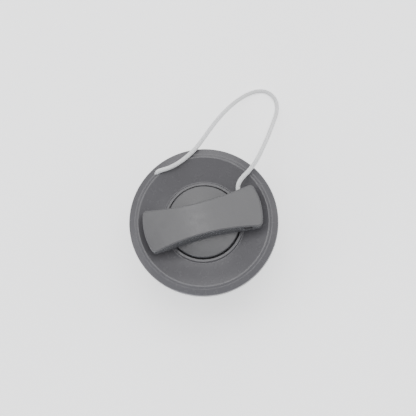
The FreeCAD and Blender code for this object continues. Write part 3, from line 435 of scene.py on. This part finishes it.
def stopper(name, centre, axis, half, outer, wire):
    """A tight stopper knot: three wraps round the cord's own end, one of them riding across the others, and a short sealed tail."""
    axis = Vector(axis).normalized()
    side = axis.cross(Vector((0.2, 0.1, 0.97)))
    if side.length < 0.3:
        side = axis.cross(Vector((1, 0, 0)))
    side.normalize()
    up = axis.cross(side)
    centre = Vector(centre)
    wound = outer - wire
    path = []
    count = 260
    for i in range(count + 1):
        t = i / count
        angle = 2 * math.pi * 2.75 * t
        # in from the standing part, round the barrel, and out along the core
        rise = -half + wire + (2 * half - 2 * wire) * t
        lean = 0.16 * wound * math.sin(angle * 0.5 + 0.6)
        r = wound * (0.30 + 0.70 * min(1.0, t / 0.10)) if t < 0.10 else wound
        if t > 0.92:
            r = wound * (1 - 0.55 * (t - 0.92) / 0.08)
        path.append(centre + axis * (rise + lean) + side * (r * math.cos(angle)) + up * (r * math.sin(angle)))
    return braided_tube(name, path, wire, 0.0, sides=28, relief=0.12, ends=(True, True))


rim_low, rim_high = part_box("rim_knot")
rim_middle = (rim_low + rim_high) / 2
rim_stop = stopper("rim_stopper", rim_middle, (0, 0, -1), 1.5 * MM, 1.7 * MM, 0.60 * MM)
cap_low, cap_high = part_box("handle_knot")
cap_middle = (cap_low + cap_high) / 2
cap_stop = stopper("handle_stopper", cap_middle, (0, -1, 0), 1.5 * MM, 1.7 * MM, 0.60 * MM)

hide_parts("tether_rim_leg")
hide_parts("tether_cap_leg")
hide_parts("rim_knot")
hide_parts("handle_knot")

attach(rim_stop, "root")
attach(cap_stop, "cap")
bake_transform(rim_leg)
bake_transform(cap_leg)

print("tether legs", round(rim_length, 5), round(cap_length, 5))


# ---------------------------------------------------------------------------
# Floor, light and camera
# ---------------------------------------------------------------------------

floor_mat, floor_tree, floor_shader = finish_of("floor_finish")
floor_where = object_coords(floor_tree)
floor_tree.links.new(
    ramp(floor_tree, noise(floor_tree, floor_where, 8.0, 2.0), [(0.3, (0.88, 0.88, 0.885)), (0.7, (0.90, 0.90, 0.905))]),
    floor_shader.inputs["Base Color"],
)
floor_shader.inputs["Roughness"].default_value = 0.9
# the floor is a lit table, so that it stays pale all round
floor_shader.inputs["Emission Color"].default_value = (1.0, 1.0, 1.0, 1)
floor_shader.inputs["Emission Strength"].default_value = 0.9
bpy.ops.mesh.primitive_plane_add(size=12.0, location=(0, 0, 0))
floor = bpy.context.object
floor.name = "floor"
dress(floor, floor_mat)

world = bpy.data.worlds.new("studio")
bpy.context.scene.world = world
world.use_nodes = True
sky = world.node_tree.nodes["Background"]
sky.inputs["Color"].default_value = (0.97, 0.98, 1.0, 1)
sky.inputs["Strength"].default_value = 0.85


def softbox(name, place, aim, size, watts, colour=(1, 1, 1), spin=0.0):
    light = bpy.data.lights.new(name, "AREA")
    light.shape = "RECTANGLE"
    light.size, light.size_y = size
    light.energy = watts
    light.color = colour
    obj = bpy.data.objects.new(name, light)
    bpy.context.scene.collection.objects.link(obj)
    obj.location = place
    obj.rotation_mode = "QUATERNION"
    turned = (Vector(aim) - Vector(place)).to_track_quat("-Z", "Y")
    obj.rotation_quaternion = turned @ Quaternion((0, 0, 1), math.radians(spin))
    return obj


softbox("overhead", (0.16, 0.36, 1.20), (0, 0, 0.02), (1.0, 0.76), 8.3)
softbox("fill", (-0.70, 0.40, 1.10), (0, 0, 0.02), (0.42, 0.60), 2.7)
softbox("sheen", (-0.042, 0.232, 1.16), (0, 0, 0.036), (0.045, 0.28), 0.30, spin=-24.0)
softbox("back", (0.15, 1.15, 0.62), (0, 0, 0.02), (1.1, 0.5), 3.5)
softbox("left", (-1.15, -0.10, 0.60), (0, 0, 0.02), (0.9, 0.5), 2.7)
softbox("right", (1.15, -0.10, 0.60), (0, 0, 0.02), (0.9, 0.5), 3.3)
softbox("window", (-0.50, -0.80, 0.17), (0, 0, 0.03), (0.30, 0.22), 3.0, (0.80, 0.88, 1.0))

# the camera looks down on the cap from 11 degrees off its axis, and is rolled
# so that the bar lies as in the picture
PIXELS = 416
PER_MM = 74.49 / 31.0
DISTANCE = 650.0
TARGET = Vector((0, 0, 26.4))
PLACED = (203.95, 223.02)
az, el, top = math.radians(2.1), math.radians(79.0), math.radians(76.1)
back = Vector((math.sin(az) * math.cos(el), -math.cos(az) * math.cos(el), math.sin(el)))
up_hint = Vector((math.cos(top), math.sin(top), 0))


def basis(back, hint):
    up = (hint - back * hint.dot(back)).normalized()
    return up.cross(back), up


right, up = basis(back, up_hint)
focal = PER_MM * DISTANCE
look = right * (PIXELS / 2 - PLACED[0]) + up * (PLACED[1] - PIXELS / 2) - back * focal
eye_back = -look.normalized()
right, up = basis(eye_back, up_hint)

lens = bpy.data.cameras.new("camera")
lens.sensor_width = 36.0
lens.lens = 36.0 * focal / PIXELS
lens.clip_start, lens.clip_end = 0.01, 50.0
camera = bpy.data.objects.new("camera", lens)
bpy.context.scene.collection.objects.link(camera)
camera.location = (TARGET + back * DISTANCE) * MM
camera.rotation_mode = "QUATERNION"
camera.rotation_quaternion = Matrix((right, up, eye_back)).transposed().to_quaternion()
bpy.context.scene.camera = camera
